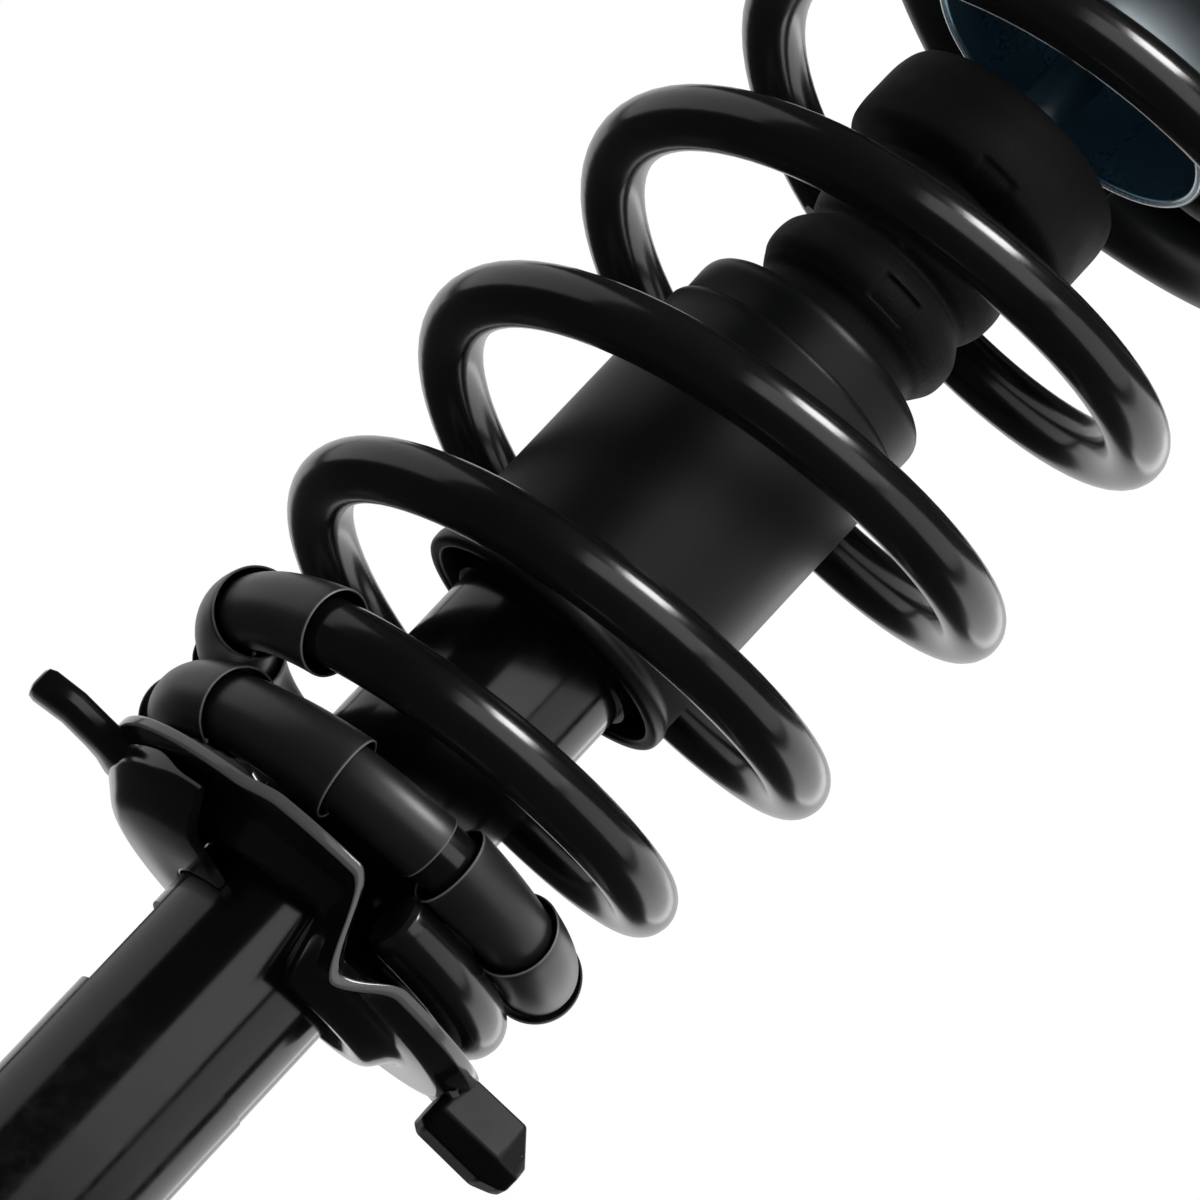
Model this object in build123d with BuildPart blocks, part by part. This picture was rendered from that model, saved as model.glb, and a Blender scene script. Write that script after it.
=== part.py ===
from build123d import *
from math import cos, pi, sin
import os

# A coil-over strut: a twin-tube damper that stands in a clamp at its lower end, its coil spring,
# and a rubber-bushed top mount with three studs. Millimetres, +Z up the strut's axis, and the
# origin at the centre of the tube's closed lower end.

# ---- fits ----
press_gap = 0.05        # radial gap of pressed, welded and bonded fits
face_gap = 0.05         # gap between faces that are clamped together
running_gap = 0.05      # radial gap of the rod in its bush and the piston in its cylinder
seat_gap = 0.3          # gap between the spring and the rubber it bears on

# ---- damper tube ----
tube_radius = 22.75     # sized end that the clamp grips
clamp_length = 118.0
body_radius = 22.5      # the rest of the tube
tube_wall = 2.0
tube_top = 252.0
base_recess = 1.0       # how far the base cap sits inside the tube's end
flat_depth = 1.25       # pressed locating flat, just above the clamp
flat_height = 22.0
top_cap_wall = 1.2
top_cap_depth = 14.0

# ---- inside the damper ----
cylinder_inner = 14.7
cylinder_wall = 1.3
valve_foot = 9.0        # height of the base valve's flange
rod_radius = 6.25
rod_thread_radius = 5.0
piston_top = tube_top - 38.0    # rod shoulder at the piston, strut fully extended
piston_height = 12.0
guide_height = 16.0
bush_wall = 1.9
seal_height = 7.0

# ---- coil spring ----
wire_radius = 7.2
coil_low_radius = 44.3
coil_main_radius = 64.0
coil_top_radius = 61.0
coil_offset = 2.3       # sideways lean of the open turns
coil_base_height = 167.2
low_pitch, top_pitch = 15.0, 12.0
opening_turns = 4.03    # the pitch opens over these turns
closing_start, closing_turns = 5.7, 1.2
coil_first_turn, coil_last_turn = -0.19, 6.9
coil_points_per_turn = 16
sleeve_points_per_turn = 48

# ---- split sleeves on the wire ----
sleeve_wall = 0.6
sleeve_step = 0.7       # one sleeve's radius to the next
liner_inner = wire_radius + 0.1

# ---- lower spring seat ----
seat_sheet = 3.0
seat_inner = body_radius + press_gap
seat_outer = 53.7
seat_first_angle = -72.0
seat_sweep = 345.0
seat_sections = 16
groove_inner, groove_outer = 38.0, 49.5
bowl_depth = 6.2
pad_height = 3.0
ear_height = 157.0
ear_reach = 72.5
tab_end, tab_width = 70.5, 13.0

# ---- dust boot and bump stop ----
boot_radius = 32.0
boot_wall = 2.5
boot_low = tube_top - 14.0
boot_shoulder = tube_top + 66.0
boot_ring_top = boot_shoulder + 11.0
stop_neck_radius = 21.0
stop_low_lobe_radius = 24.8
stop_top_lobe_radius = 30.6
stop_low, stop_top = boot_shoulder - 1.0, boot_shoulder + 74.4

# ---- top mount ----
cup_radius = 37.4
cup_wall = 1.5
cup_rim = stop_top + 22.6
cup_top = cup_rim + 33.5
rod_top = cup_top + 47.5
seat_plate_thickness = 2.5
seat_plate_radius = 80.0
mount_plate_thickness = 3.0
mount_plate_radius = 78.0
mount_can_radius = 30.5
mount_can_height = 20.0
mount_sleeve_height = 24.5
stud_radius = 4.0
stud_circle = 62.0
stud_length = 30.0
stud_count = 3
stud_head_radius = 6.5  # flat head let into the plate's underside
stud_shank_radius = 4.8  # knurled shank pressed through the plate
stud_head_height = 1.4
washer_thickness = 3.0
nut_height = 9.0
nut_flats = 17.0

os.makedirs("parts", exist_ok=True)


def save(piece, name):
    """Labels a finished piece and writes it under its own name."""
    piece.part.label = name
    export_step(piece.part, f"parts/{name}.step")


def turned(name, outline):
    """Writes a piece turned about the strut's axis from (radius, height) points."""
    with BuildPart() as piece:
        with BuildSketch(Plane.XZ):
            with BuildLine():
                Polyline(*outline, close=True)
            make_face()
        revolve(axis=Axis.Z)
    save(piece, name)


def ring(inner, outer, low, high):
    """The outline of a plain ring."""
    return [(inner, low), (outer, low), (outer, high), (inner, high)]


def hexagon_nut(name, low, height, flats, bore):
    """Writes a chamfered hexagon nut on the strut's axis."""
    with BuildPart() as piece:
        with BuildSketch(Plane.XY.offset(low)):
            RegularPolygon(flats / 2, 6, major_radius=False)
            Circle(bore, mode=Mode.SUBTRACT)
        extrude(amount=height)
        with BuildSketch(Plane.XZ):
            with BuildLine():
                Polyline((bore, low), (flats * 0.50, low), (flats * 0.57, low + 1.2),
                         (flats * 0.57, low + height - 1.2), (flats * 0.50, low + height),
                         (bore, low + height), close=True)
            make_face()
        revolve(axis=Axis.Z, mode=Mode.INTERSECT)
    save(piece, name)


# ---- the spring's line ----
coil_top_height = cup_top - 8.5     # centre of the wire where it ends, under the upper seat


def smooth(t):
    """Rises smoothly from 0 to 1 as t goes from 0 to 1."""
    t = min(max(t, 0.0), 1.0)
    return t * t * (3 - 2 * t)


def smooth_sum(t):
    """The area under smooth() from 0 to t."""
    if t <= 0:
        return 0.0
    if t >= 1:
        return t - 0.5
    return t ** 3 - t ** 4 / 2


# the open turns' pitch is the one that brings the last turn up to the upper seat
opened = opening_turns * smooth_sum(coil_last_turn / opening_turns)
closed = closing_turns * smooth_sum((coil_last_turn - closing_start) / closing_turns)
main_pitch = coil_top_height - coil_base_height - low_pitch * (coil_last_turn - opened)
main_pitch = (main_pitch - top_pitch * closed) / (opened - closed)


def wire_height(turn):
    """Height of the wire's centre at a turn, counted from +X."""
    opening = (main_pitch - low_pitch) * opening_turns * smooth_sum(turn / opening_turns)
    closing = (main_pitch - top_pitch) * closing_turns
    closing *= smooth_sum((turn - closing_start) / closing_turns)
    return coil_base_height + low_pitch * turn + opening - closing


def wire_point(turn):
    """Centre of the wire: small turns at the foot, wide and slightly leaning above."""
    radius = coil_low_radius + (coil_main_radius - coil_low_radius) * smooth(turn / 4.16)
    radius -= (coil_main_radius - coil_top_radius) * smooth((turn - 5.6) / 0.9)
    lean = coil_offset * (smooth((turn - 2.3) / 2.5) - smooth((turn - 6.0) / 0.9))
    angle = 2 * pi * turn
    return (lean + radius * cos(angle), radius * sin(angle), wire_height(turn))


def along_wire(name, first, last, outer, inner=0.0):
    """Writes a round bar or a thin sleeve that follows the wire from one turn to another."""
    steps = round((last - first) * (sleeve_points_per_turn if inner else coil_points_per_turn))
    points = [wire_point(first + (last - first) * i / steps) for i in range(steps + 1)]
    with BuildPart() as piece:
        with BuildLine() as line:
            Spline(*points)
        path = line.wires()[0]
        with BuildSketch(Plane(origin=path @ 0, z_dir=path % 0)):
            Circle(outer)
            if inner:
                Circle(inner, mode=Mode.SUBTRACT)
        sweep(path=path, is_frenet=True)
    save(piece, name)


along_wire("coil_spring", coil_first_turn, coil_last_turn, wire_radius)

# Each sleeve is pushed a little way into the next: name, first and last turn, and its size step.
sleeves = [
    ("spring_sleeve_01", 0.380, 0.480, 3),
    ("spring_sleeve_02", 0.470, 0.605, 2),
    ("spring_sleeve_03", 0.595, 0.715, 1),
    ("spring_sleeve_04", 0.700, 0.792, 0),
    ("spring_sleeve_05", 0.810, 0.905, 1),
    ("spring_sleeve_06", 0.895, 1.010, 2),
    ("spring_sleeve_07", 1.000, 1.115, 3),
    ("spring_sleeve_08", 1.105, 1.220, 2),
    ("spring_sleeve_09", 1.210, 1.325, 1),
    ("spring_sleeve_10", 1.315, 1.440, 3),
    ("spring_sleeve_11", 1.430, 1.545, 2),
    ("spring_sleeve_12", 1.535, 1.640, 1),
    ("top_sleeve_1", 5.880, 6.030, 1),
    ("top_sleeve_2", 6.020, 6.180, 2),
    ("top_sleeve_3", 6.170, 6.330, 1),
    ("top_sleeve_4", 6.320, 6.480, 2),
]
for sleeve_name, first, last, step in sleeves:
    sleeve_inner = liner_inner + sleeve_step * step
    along_wire(sleeve_name, first, last, sleeve_inner + sleeve_wall, sleeve_inner)


# ---- lower spring seat: a pressed plate that climbs with the wire ----
def radial_plane(degrees):
    """The upright plane through the axis at an angle, with its x outwards and its y up."""
    a = pi * degrees / 180
    return Plane(origin=(0, 0, 0), x_dir=(cos(a), sin(a), 0), z_dir=(sin(a), -cos(a), 0))


def groove_height(degrees):
    """Top of the seat's groove, below the wire, its sleeves and the pad."""
    wire_clear = liner_inner + sleeve_step * 3 + sleeve_wall + seat_gap
    return wire_height(degrees / 360) - wire_clear - pad_height


def seat_outline(degrees):
    """The sheet's section: collar, bowl, groove and raised rim."""
    groove = groove_height(degrees)
    rim = groove + 2.6 * smooth((degrees + 90) / 80) - 3.0 * smooth((degrees - 170) / 100)
    bowl = groove - bowl_depth
    top = [(seat_inner - 0.5, bowl + 3.5), (26.5, bowl + 2.5), (28.5, bowl), (33.5, bowl),
           (groove_inner, groove), (groove_outer, groove), (seat_outer, rim)]
    return top + [(x, y - seat_sheet) for x, y in reversed(top)]


with BuildPart() as lower_spring_seat:
    for i in range(seat_sections + 1):
        angle = seat_first_angle + seat_sweep * i / seat_sections
        with BuildSketch(radial_plane(angle)):
            with BuildLine():
                Polyline(*seat_outline(angle), close=True)
            make_face()
    loft()
    # the short steep step that closes the ring
    for angle, turn_back in ((seat_first_angle + seat_sweep, 0), (seat_first_angle, 360)):
        with BuildSketch(radial_plane(angle)):
            with BuildLine():
                Polyline(*seat_outline(angle), close=True)
            make_face()
    loft()
    with BuildSketch(Plane.XY.offset(ear_height - 30)):
        Circle(seat_inner)
    extrude(amount=60, mode=Mode.SUBTRACT)
    # an ear each side: a rolled hook on the left, a flat tab on the right
    with BuildSketch(Plane.YZ.offset(-ear_reach)):
        with Locations((0, ear_height + 1.0)):
            SlotOverall(14, 7.2)
    extrude(amount=ear_reach - groove_outer - 0.5)
    with BuildSketch(Plane.XY.offset(ear_height - 6.4)):
        with Locations((tab_end - 10.0, 0)):
            Rectangle(20, tab_width)
    extrude(amount=seat_sheet)
save(lower_spring_seat, "lower_spring_seat")


# ---- the pan under the high side of the seat ----
support_outline = [
    (seat_inner, 138.0), (25.5, 138.0), (25.5, 146.2), (42.0, 146.2), (50.2, 152.6),
    (50.2, 154.2), (48.0, 154.2), (41.2, 148.7), (25.0, 148.7), (seat_inner, 148.7),
]
with BuildPart() as seat_support:
    with BuildSketch(radial_plane(112)):
        with BuildLine():
            Polyline(*support_outline, close=True)
        make_face()
    revolve(axis=Axis.Z, revolution_arc=118)
save(seat_support, "seat_support")

# ---- rubber pad in the groove ----
with BuildPart() as lower_spring_pad:
    pad_first, pad_sweep, pad_sections = -60.0, 300.0, 14
    for i in range(pad_sections + 1):
        angle = pad_first + pad_sweep * i / pad_sections
        foot = groove_height(angle) + face_gap
        with BuildSketch(radial_plane(angle)):
            with BuildLine():
                Polyline((groove_inner + 0.5, foot), (groove_outer - 0.5, foot),
                         (groove_outer - 0.5, foot + pad_height), (groove_inner + 0.5, foot + pad_height),
                         close=True)
            make_face()
    loft()
save(lower_spring_pad, "lower_spring_pad")

# ---- rubber cap on the right ear ----
ear_foot = ear_height - 6.4
with BuildPart() as ear_cap:
    with BuildSketch(Plane.XZ.offset(-9.5)):
        with BuildLine():
            Polyline((54.2, ear_foot - 6.5), (72.0, ear_foot - 7.5), (73.0, ear_foot - 3.0),
                     (72.0, ear_foot + 6.0), (68.0, ear_foot + 8.0), (54.2, ear_foot + 8.0), close=True)
        make_face()
    extrude(amount=19)
    chamfer(ear_cap.edges().filter_by(Axis.X).group_by(Axis.Z)[-1], 2.5)
    with BuildSketch(Plane.XY.offset(ear_foot - press_gap)):
        with Locations((tab_end - 10.0 + press_gap, 0)):
            Rectangle(20, tab_width + 2 * press_gap)
    extrude(amount=seat_sheet + 2 * press_gap, mode=Mode.SUBTRACT)
save(ear_cap, "ear_cap")

# ---- damper tube and its ends ----
tube_inner = body_radius - tube_wall
with BuildPart() as outer_tube:
    with BuildSketch():
        Circle(body_radius)
    extrude(amount=tube_top)
    with BuildSketch():
        Circle(tube_radius)
    extrude(amount=clamp_length)
    with BuildSketch():
        Circle(tube_inner)
    extrude(amount=tube_top, mode=Mode.SUBTRACT)
    # a pressed flat that keys the tube in its clamp
    with BuildSketch(Plane.XY.offset(clamp_length)):
        with Locations((-body_radius, 0)):
            Rectangle(2 * flat_depth, 2 * body_radius)
    extrude(amount=flat_height, mode=Mode.SUBTRACT)
save(outer_tube, "outer_tube")

cap_radius = tube_inner - press_gap
cap_floor = base_recess + 3.5
cylinder_outer = cylinder_inner + cylinder_wall
skirt_inner = (cap_radius + cylinder_outer) / 2
turned("base_cap", [(0, base_recess), (cap_radius - 6.5, base_recess), (cap_radius - 1.3, base_recess + 1.8),
                    (cap_radius, base_recess + 5), (cap_radius, base_recess + 12),
                    (skirt_inner, base_recess + 12), (skirt_inner, base_recess + 7),
                    (13, cap_floor), (0, cap_floor)])
guide_top = tube_top - 2.4 - seal_height
guide_low = guide_top - guide_height
spigot_low = guide_low - 4.0
turned("pressure_tube", ring(cylinder_inner, cylinder_outer, valve_foot + 2 + face_gap, guide_low - face_gap))
valve_spigot = cylinder_inner - press_gap
with BuildPart() as base_valve:
    with BuildSketch(Plane.XZ):
        with BuildLine():
            Polyline((0, valve_foot - 1.0), (9, valve_foot - 1.0), (9, cap_floor + face_gap),
                     (12.5, cap_floor + face_gap), (cylinder_outer, valve_foot), (cylinder_outer, valve_foot + 2),
                     (valve_spigot, valve_foot + 2), (valve_spigot, valve_foot + 10),
                     (0, valve_foot + 10), close=True)
        make_face()
    revolve(axis=Axis.Z)
    with Locations(Plane.XY.offset(valve_foot + 10)):
        with PolarLocations(6.0, 6):
            Hole(1.6)
save(base_valve, "base_valve")
turned("base_valve_disc", ring(0, 9.5, valve_foot + 10 + face_gap, valve_foot + 11.2))

turned("rod_guide", [(rod_radius + running_gap + bush_wall + press_gap, spigot_low),
                     (valve_spigot, spigot_low), (valve_spigot, guide_low), (cap_radius, guide_low),
                     (cap_radius, guide_top), (rod_radius + running_gap + bush_wall + press_gap, guide_top)])
rod_bore = rod_radius + running_gap
turned("guide_bush", ring(rod_bore, rod_bore + bush_wall, spigot_low + 1, guide_top - 1))
turned("rod_seal", [(rod_bore, guide_top + face_gap), (cap_radius, guide_top + face_gap),
                    (cap_radius, guide_top + seal_height), (9.5, guide_top + seal_height), (8.5, tube_top - 6),
                    (rod_bore + 0.6, tube_top - 5), (rod_bore, tube_top - 5.6)])
cap_inner = body_radius + press_gap
turned("tube_top_cap", [(9.5, tube_top + face_gap), (cap_inner, tube_top + face_gap),
                        (cap_inner, tube_top - top_cap_depth), (cap_inner + top_cap_wall, tube_top - top_cap_depth),
                        (cap_inner + top_cap_wall, tube_top + 1.4), (cap_inner, tube_top + 2.2),
                        (9.5, tube_top + 2.2)])

# ---- piston rod, hidden in the damper up to the guide ----
piston_low = piston_top - piston_height
nut_low = piston_low - 8.0
mount_foot = cup_top - 2.0          # rod shoulder under the cup's closed end
turned("piston_rod", [(0, nut_low - 2), (rod_thread_radius, nut_low - 2), (rod_thread_radius, piston_top),
                      (rod_radius, piston_top), (rod_radius, mount_foot - face_gap),
                      (rod_thread_radius, mount_foot - face_gap), (rod_thread_radius, rod_top - 1),
                      (rod_thread_radius - 1, rod_top), (0, rod_top)])
thread_hole = rod_thread_radius + press_gap
band_outer = cylinder_inner - running_gap
piston_radius = cylinder_inner - 0.3
with BuildPart() as piston:
    with BuildSketch(Plane.XZ):
        with BuildLine():
            Polyline((thread_hole, piston_low), (piston_radius, piston_low), (piston_radius, piston_low + 3),
                     (band_outer - 1.2, piston_low + 3), (band_outer - 1.2, piston_low + 9),
                     (piston_radius, piston_low + 9), (piston_radius, piston_top - 1.5),
                     (thread_hole, piston_top - 1.5), close=True)
        make_face()
    revolve(axis=Axis.Z)
    with Locations(Plane.XY.offset(piston_top)):
        with PolarLocations(9.5, 6):
            Hole(1.4)
save(piston, "piston")
turned("piston_band", ring(band_outer - 1.2 + press_gap, band_outer, piston_low + 3 + face_gap,
                           piston_low + 9 - face_gap))
turned("piston_shims", ring(thread_hole, 11.5, piston_top - 1.5 + face_gap, piston_top - face_gap))
hexagon_nut("piston_nut", nut_low, piston_low - nut_low - face_gap, 14.0, thread_hole)
turned("rebound_ring", ring(rod_radius + press_gap, 10.0, piston_top + face_gap, piston_top + 3))
turned("rebound_cushion", ring(rod_radius + press_gap, 11.0, piston_top + 3 + face_gap, spigot_low - seat_gap))

# ---- dust boot, its top ring and the bump stop: they slide on the rod ----
with BuildPart() as dust_boot:
    with BuildSketch(Plane.XZ) as boot_section:
        with BuildLine():
            Polyline((boot_radius - boot_wall, boot_low), (boot_radius + 0.7, boot_low),
                     (boot_radius + 0.7, boot_low + 3), (boot_radius, boot_low + 4.5),
                     (boot_radius, boot_shoulder), (stop_neck_radius, boot_shoulder),
                     (stop_neck_radius, boot_shoulder - boot_wall),
                     (boot_radius - boot_wall, boot_shoulder - boot_wall), close=True)
        make_face()
        fillet(boot_section.vertices().group_by(Axis.Y)[0], 0.9)
    revolve(axis=Axis.Z)
save(dust_boot, "dust_boot")
with BuildPart() as boot_ring:
    with BuildSketch(Plane.XZ) as ring_section:
        with BuildLine():
            Polyline(*ring(stop_neck_radius + press_gap, boot_radius - 0.6, boot_shoulder + face_gap,
                           boot_ring_top), close=True)
        make_face()
        fillet(ring_section.vertices().sort_by_distance((boot_radius, boot_ring_top))[0], 5.0)
    revolve(axis=Axis.Z)
save(boot_ring, "boot_ring")

stop_bore = rod_radius + 0.3
with BuildPart() as bump_stop:
    with BuildSketch(Plane.XZ):
        with BuildLine():
            Polyline((stop_neck_radius - 1, boot_ring_top + 1.5), (stop_neck_radius, boot_ring_top + 0.2),
                     (stop_neck_radius, boot_shoulder + face_gap), (stop_neck_radius - 0.2, stop_low),
                     (stop_bore, stop_low), (stop_bore, stop_top), (24.0, stop_top))
            Spline((24.0, stop_top), (29.2, stop_top - 3.6), (stop_top_lobe_radius, stop_top - 11),
                   (stop_top_lobe_radius - 0.4, stop_top - 20), (26.0, stop_top - 27.5),
                   (stop_neck_radius, stop_top - 33), (stop_neck_radius + 0.8, stop_top - 40),
                   (stop_low_lobe_radius - 0.6, stop_top - 48), (stop_low_lobe_radius, stop_top - 54),
                   (stop_low_lobe_radius - 1.4, stop_top - 59.5),
                   (stop_neck_radius - 1, boot_ring_top + 1.5), tangents=((1, 0), (-1, -0.6)))
        make_face()
    revolve(axis=Axis.Z)
save(bump_stop, "bump_stop")

# ---- top mount ----
turned("bump_cup", [(thread_hole, mount_foot), (cup_radius - 5.5, mount_foot), (cup_radius - 2.2, mount_foot - 2.4),
                    (cup_radius - cup_wall, mount_foot - 6), (cup_radius - cup_wall, cup_rim + 1),
                    (cup_radius - 0.8, cup_rim), (cup_radius + 0.4, cup_rim + 0.2),
                    (cup_radius + 0.4, cup_rim + 1.6), (cup_radius, cup_rim + 2.2),
                    (cup_radius, mount_foot - 5.6), (cup_radius - 1.1, mount_foot - 1.2),
                    (cup_radius - 5.0, cup_top), (thread_hole, cup_top)])
turned("lower_washer", ring(thread_hole, 20.0, cup_top + face_gap, cup_top + washer_thickness))
mount_face = cup_top + washer_thickness + face_gap
turned("upper_spring_seat", [(32.0, mount_face - seat_plate_thickness), (seat_plate_radius - 3, mount_face - 2.5),
                             (seat_plate_radius - 2.5, mount_face - 7), (seat_plate_radius, mount_face - 7),
                             (seat_plate_radius, mount_face - 1.5), (seat_plate_radius - 1.5, mount_face),
                             (32.0, mount_face)])

pad_top = mount_face - seat_plate_thickness - face_gap
with BuildPart() as upper_spring_pad:
    ramp_first, ramp_sweep, ramp_sections = 6.05, 0.85, 10
    for i in range(ramp_sections + 1):
        turn = ramp_first + ramp_sweep * i / ramp_sections
        under = wire_height(turn) + liner_inner + 3 * sleeve_step + sleeve_wall + seat_gap
        if turn > sleeves[-1][2]:
            under = wire_height(turn) + wire_radius + seat_gap
        under = min(under, pad_top - 1.5)
        with BuildSketch(radial_plane(360 * turn)):
            with BuildLine():
                Polyline((46.0, under), (72.0, under), (72.0, pad_top), (46.0, pad_top), close=True)
            make_face()
    loft()
save(upper_spring_pad, "upper_spring_pad")

plate_low = mount_face + face_gap
plate_top = plate_low + mount_plate_thickness
with BuildPart() as mount_plate:
    with BuildSketch(Plane.XY.offset(plate_low)) as plate_outline:
        RegularPolygon(mount_plate_radius * 1.25, stud_count, rotation=30)
        Circle(mount_plate_radius, mode=Mode.INTERSECT)
        fillet(plate_outline.vertices(), 9.0)
        Circle(mount_can_radius - 2.5, mode=Mode.SUBTRACT)
    extrude(amount=mount_plate_thickness)
    with BuildSketch(Plane.XZ):
        with BuildLine():
            Polyline((mount_can_radius - 2.5, plate_low), (mount_can_radius + 2, plate_low),
                     (mount_can_radius + 2, plate_top), (mount_can_radius, plate_top + 2),
                     (mount_can_radius, plate_low + mount_can_height),
                     (mount_can_radius - 5.5, plate_low + mount_can_height + 2),
                     (mount_can_radius - 5.5, plate_low + mount_can_height),
                     (mount_can_radius - 2.5, plate_low + mount_can_height - 1.5), close=True)
        make_face()
    revolve(axis=Axis.Z)
    with Locations(Plane.XY.offset(plate_top)):
        with PolarLocations(stud_circle, stud_count, start_angle=30):
            Hole(stud_shank_radius + press_gap)
    with BuildSketch(Plane.XY.offset(plate_low)):
        with PolarLocations(stud_circle, stud_count, start_angle=30):
            Circle(stud_head_radius + press_gap)
    extrude(amount=stud_head_height + face_gap, mode=Mode.SUBTRACT)
save(mount_plate, "mount_plate")

sleeve_low = cup_top + washer_thickness + face_gap
sleeve_high = sleeve_low + mount_sleeve_height
turned("mount_sleeve", ring(thread_hole, 8.5, sleeve_low, sleeve_high))
turned("mount_rubber", [(8.5 + press_gap, sleeve_low + 1), (20, sleeve_low + 0.6), (27.9, sleeve_low + 0.6),
                        (27.9, plate_low + mount_can_height - 2.2), (24.5, plate_low + mount_can_height - 0.4),
                        (14, plate_low + mount_can_height - 5), (8.5 + press_gap, sleeve_high - 1)])
turned("upper_washer", ring(thread_hole, 22.0, sleeve_high + face_gap, sleeve_high + washer_thickness))
hexagon_nut("rod_nut", sleeve_high + washer_thickness + face_gap, nut_height, nut_flats, thread_hole)

with BuildPart() as mount_studs:
    with PolarLocations(stud_circle, stud_count, start_angle=30):
        with Locations((0, 0, plate_low)):
            Cylinder(stud_head_radius, stud_head_height, align=(Align.CENTER, Align.CENTER, Align.MIN))
            Cylinder(stud_shank_radius, mount_plate_thickness, align=(Align.CENTER, Align.CENTER, Align.MIN))
            Cylinder(stud_radius, stud_length, align=(Align.CENTER, Align.CENTER, Align.MIN))
    chamfer(mount_studs.edges().group_by(Axis.Z)[-1], 0.8)
save(mount_studs, "mount_studs")
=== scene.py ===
import bpy
import bmesh
from math import ceil, cos, degrees, pi, radians, sin
from mathutils import Matrix, Vector


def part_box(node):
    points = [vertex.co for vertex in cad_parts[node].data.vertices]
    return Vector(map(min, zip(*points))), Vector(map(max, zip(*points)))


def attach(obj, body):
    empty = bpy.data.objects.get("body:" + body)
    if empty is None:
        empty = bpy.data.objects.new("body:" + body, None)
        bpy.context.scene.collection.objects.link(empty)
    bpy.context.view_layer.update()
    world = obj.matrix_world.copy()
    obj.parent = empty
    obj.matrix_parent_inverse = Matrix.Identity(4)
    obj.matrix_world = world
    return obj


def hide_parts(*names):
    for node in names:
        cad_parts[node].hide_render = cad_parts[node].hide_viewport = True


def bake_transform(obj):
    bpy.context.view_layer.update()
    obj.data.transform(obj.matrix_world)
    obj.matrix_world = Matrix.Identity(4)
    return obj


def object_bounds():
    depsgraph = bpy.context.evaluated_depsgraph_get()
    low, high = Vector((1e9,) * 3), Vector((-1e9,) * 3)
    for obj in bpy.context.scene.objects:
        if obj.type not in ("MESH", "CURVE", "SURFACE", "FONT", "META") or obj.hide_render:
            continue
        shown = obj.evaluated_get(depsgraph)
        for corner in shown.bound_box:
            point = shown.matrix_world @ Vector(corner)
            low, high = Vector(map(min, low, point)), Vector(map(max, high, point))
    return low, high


# Looks of a coil-over strut. The CAD holds the sizes; this script adds the finished surfaces.
# Sizes below are in millimetres and are turned into metres as each mesh is made.

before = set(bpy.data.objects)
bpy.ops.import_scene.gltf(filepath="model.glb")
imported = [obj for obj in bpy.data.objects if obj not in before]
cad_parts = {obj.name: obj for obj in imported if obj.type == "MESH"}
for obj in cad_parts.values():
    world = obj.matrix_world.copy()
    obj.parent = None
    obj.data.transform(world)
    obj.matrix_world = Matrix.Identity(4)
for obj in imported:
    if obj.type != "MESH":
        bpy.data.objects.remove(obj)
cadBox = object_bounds()
mm = 0.001
print("stage: frame loaded")


def boxOf(node):
    low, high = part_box(node)
    return low / mm, high / mm


def smooth(t):
    t = min(max(t, 0.0), 1.0)
    return t * t * (3 - 2 * t)


def smoothSum(t):
    if t <= 0:
        return 0.0
    return t - 0.5 if t >= 1 else t ** 3 - t ** 4 / 2


def between(a, b, t):
    return a + (b - a) * t


# Mesh making. Rings are lists of points in millimetres.

def finishMesh(name, mesh, sharpAngle=32):
    mesh.shade_smooth()
    mesh.set_sharp_from_angle(angle=radians(sharpAngle))
    piece = bpy.data.objects.new(name, mesh)
    bpy.context.scene.collection.objects.link(piece)
    return piece


def markEdges(piece, marks):
    # marks every point that takes the paler edge tone: a painted highlight on the seat's outer edge face
    # and on the sleeve rims, a lighter outer face on the cup
    piece.data.attributes.new("paleEdge", "FLOAT", "POINT").data.foreach_set("value", marks)


def ringFaces(rows, sides, ringsClosed, capped):
    # the faces between one ring and the next, with a cap at each open end
    faces = []
    for i in range(rows if ringsClosed else rows - 1):
        j = (i + 1) % rows
        for k in range(sides):
            m = (k + 1) % sides
            faces.append((i * sides + k, i * sides + m, j * sides + m, j * sides + k))
    if capped and not ringsClosed:
        faces.append(tuple(reversed(range(sides))))
        faces.append(tuple(range((rows - 1) * sides, rows * sides)))
    return faces


def ringMesh(name, rings, ringsClosed=False, capped=True, sharpAngle=32):
    sides = len(rings[0])
    points = [Vector(p) * mm for ring in rings for p in ring]
    mesh = bpy.data.meshes.new(name)
    mesh.from_pydata(points, [], ringFaces(len(rings), sides, ringsClosed, capped))
    work = bmesh.new()
    work.from_mesh(mesh)
    bmesh.ops.remove_doubles(work, verts=work.verts, dist=1e-7)
    bmesh.ops.recalc_face_normals(work, faces=work.faces)
    work.to_mesh(mesh)
    work.free()
    return finishMesh(name, mesh, sharpAngle)


def roundedOutline(corners, steps=5):
    # corners are (radius, height, rounding); each corner becomes a small arc
    outline = []
    count = len(corners)
    for i, (x, y, rounding) in enumerate(corners):
        here = Vector((x, y))
        if rounding <= 0:
            outline.append(here)
            continue
        back = Vector(corners[i - 1][:2]) - here
        ahead = Vector(corners[(i + 1) % count][:2]) - here
        reach = min(rounding, back.length * 0.48, ahead.length * 0.48)
        a, b = here + back.normalized() * reach, here + ahead.normalized() * reach
        for s in range(steps + 1):
            t = s / steps
            outline.append(a * (1 - t) ** 2 + here * 2 * t * (1 - t) + b * t ** 2)
    return outline


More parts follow.
